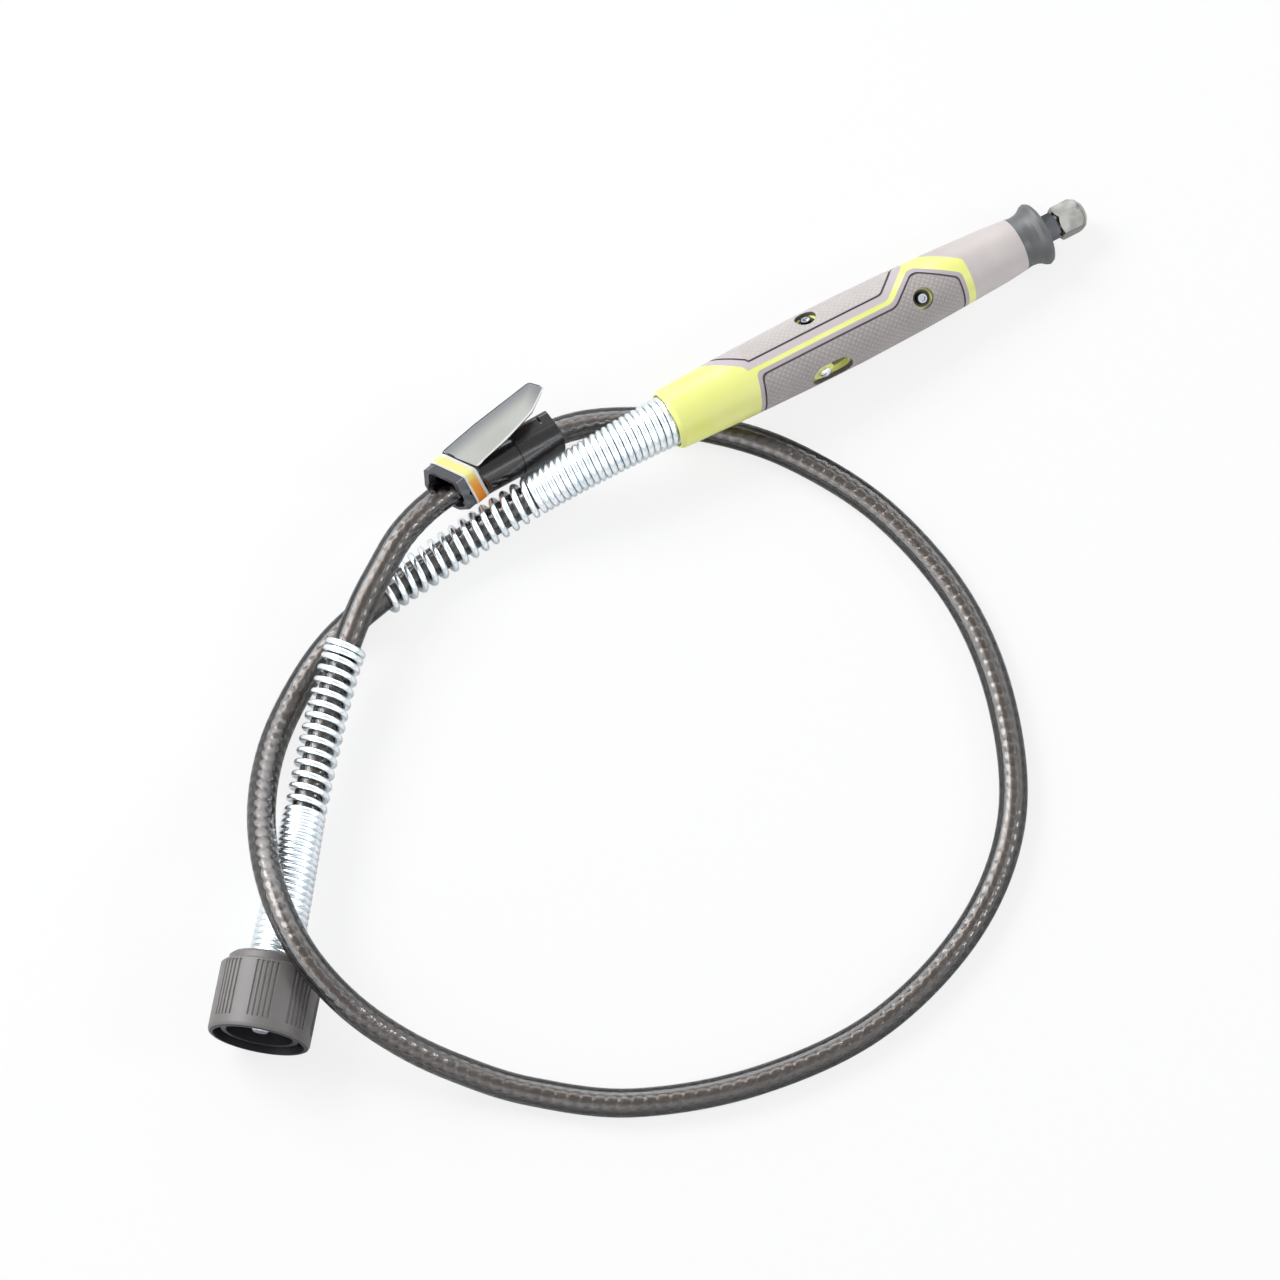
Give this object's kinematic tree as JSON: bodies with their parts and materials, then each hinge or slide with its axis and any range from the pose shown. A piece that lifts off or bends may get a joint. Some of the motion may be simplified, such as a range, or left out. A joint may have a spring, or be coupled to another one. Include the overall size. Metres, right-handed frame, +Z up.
{
  "type": "rotary tool with flex shaft",
  "caption": "Pen-like rotary tool handpiece with a collet chuck on a looped flexible shaft that ends in a grooved coupling nut.",
  "frame": {"origin": "on the table under the middle of the handpiece's box", "axes": "+X from the collar towards the chuck along the handpiece, +Z up from the table"},
  "size_m": [0.3356, 0.211, 0.0341],
  "materials": {
    "lime_plastic": "smooth moulding",
    "grip_elastomer": "fine diamond texture inside a smooth border",
    "nose_plastic": "smooth satin moulding",
    "ring_plastic": "satin moulding",
    "plated_steel": "nickel plated",
    "turned_aluminium": "turned",
    "bearing_steel": "ground and polished",
    "pressed_brass": "pressed",
    "bronze": "sintered bronze",
    "spring_steel": "black oxide",
    "blackened_steel": "dark chrome",
    "dark_chrome": "dark chrome with a bright worn face",
    "black_plastic": "satin moulding",
    "zinc_wire": "bright zinc plated spring wire",
    "sheath_plastic": "glossy translucent dark grey",
    "liner_wire": "flat wound wire",
    "core_wire": "wound wire rope",
    "band_plastic": "printed film, yellow to orange",
    "nut_plastic": "satin moulding with axial grooves",
    "insert_plastic": "moulded thread"
  },
  "bodies": {
    "handpiece": {"handle_core": "lime_plastic", "upper_grip": "grip_elastomer", "lower_grip": "grip_elastomer", "nose_barrel": "nose_plastic", "nose_ring": "ring_plastic", "grip_screws": "plated_steel", "bearing_barrel": "turned_aluminium", "front_bearing_outer": "bearing_steel", "rear_bearing_outer": "bearing_steel", "bearing_spacer": "turned_aluminium", "bearing_clip": "spring_steel", "grip_ferrule": "pressed_brass", "grip_spring": "zinc_wire", "sheath": "sheath_plastic", "sheath_liner": "liner_wire", "drive_core": "core_wire", "clip_sleeve": "black_plastic", "clip_band": "band_plastic", "drive_spring": "zinc_wire", "drive_ferrule": "pressed_brass", "drive_bush": "bronze", "ferrule_clip": "spring_steel"},
    "spindle": {"spindle": "blackened_steel", "front_bearing_inner": "bearing_steel", "rear_bearing_inner": "bearing_steel"},
    "front_cage": {"front_bearing_balls": "bearing_steel", "front_bearing_cage": "pressed_brass"},
    "rear_cage": {"rear_bearing_balls": "bearing_steel", "rear_bearing_cage": "pressed_brass"},
    "collet": {"collet": "plated_steel"},
    "collet_nut": {"collet_nut": "dark_chrome"},
    "lock": {"lock_slider": "black_plastic", "lock_knob": "plated_steel"},
    "coupling_nut": {"coupling_nut": "nut_plastic", "nut_insert": "insert_plastic"},
    "drive_tip": {"drive_tip": "plated_steel"}
  },
  "joints": [
    {"name": "spindle_spin", "type": "hinge", "parent": "handpiece", "child": "spindle", "pos_m": [-0.00878, 0, 0.01438], "axis": [0.9969, 0, -0.0785], "continuous": true},
    {"name": "front_cage_spin", "type": "hinge", "parent": "handpiece", "child": "front_cage", "pos_m": [0.04156, 0, 0.01042], "axis": [0.9969, 0, -0.0785], "continuous": true},
    {"name": "rear_cage_spin", "type": "hinge", "parent": "handpiece", "child": "rear_cage", "pos_m": [-0.03819, 0, 0.0167], "axis": [0.9969, 0, -0.0785], "continuous": true},
    {"name": "collet_slide", "type": "slide", "parent": "spindle", "child": "collet", "axis": [0.9969, 0, -0.0785], "range_m": [0, 0.0023]},
    {"name": "collet_nut_turn", "type": "hinge", "parent": "collet", "child": "collet_nut", "pos_m": [0.06399, 0, 0.00865], "axis": [0.9969, 0, -0.0785], "range_deg": [0, 1080]},
    {"name": "lock_slide", "type": "slide", "parent": "handpiece", "child": "lock", "axis": [0.9969, 0, -0.0785], "range_m": [0, 0.0045]},
    {"name": "coupling_nut_turn", "type": "hinge", "parent": "handpiece", "child": "coupling_nut", "pos_m": [-0.24871, -0.09219, 0.0145], "axis": [-0.6428, -0.766, 0], "continuous": true},
    {"name": "drive_tip_spin", "type": "hinge", "parent": "handpiece", "child": "drive_tip", "pos_m": [-0.24871, -0.09219, 0.0145], "axis": [0.6428, 0.766, 0], "continuous": true}
  ],
  "couplings": [
    {"joint": "drive_tip_spin", "follows": "spindle_spin", "ratio": 1},
    {"joint": "front_cage_spin", "follows": "spindle_spin", "ratio": 0.39474},
    {"joint": "rear_cage_spin", "follows": "spindle_spin", "ratio": 0.39474},
    {"joint": "collet_slide", "follows": "collet_nut_turn", "m_per_rad": 0.00011937}
  ]
}
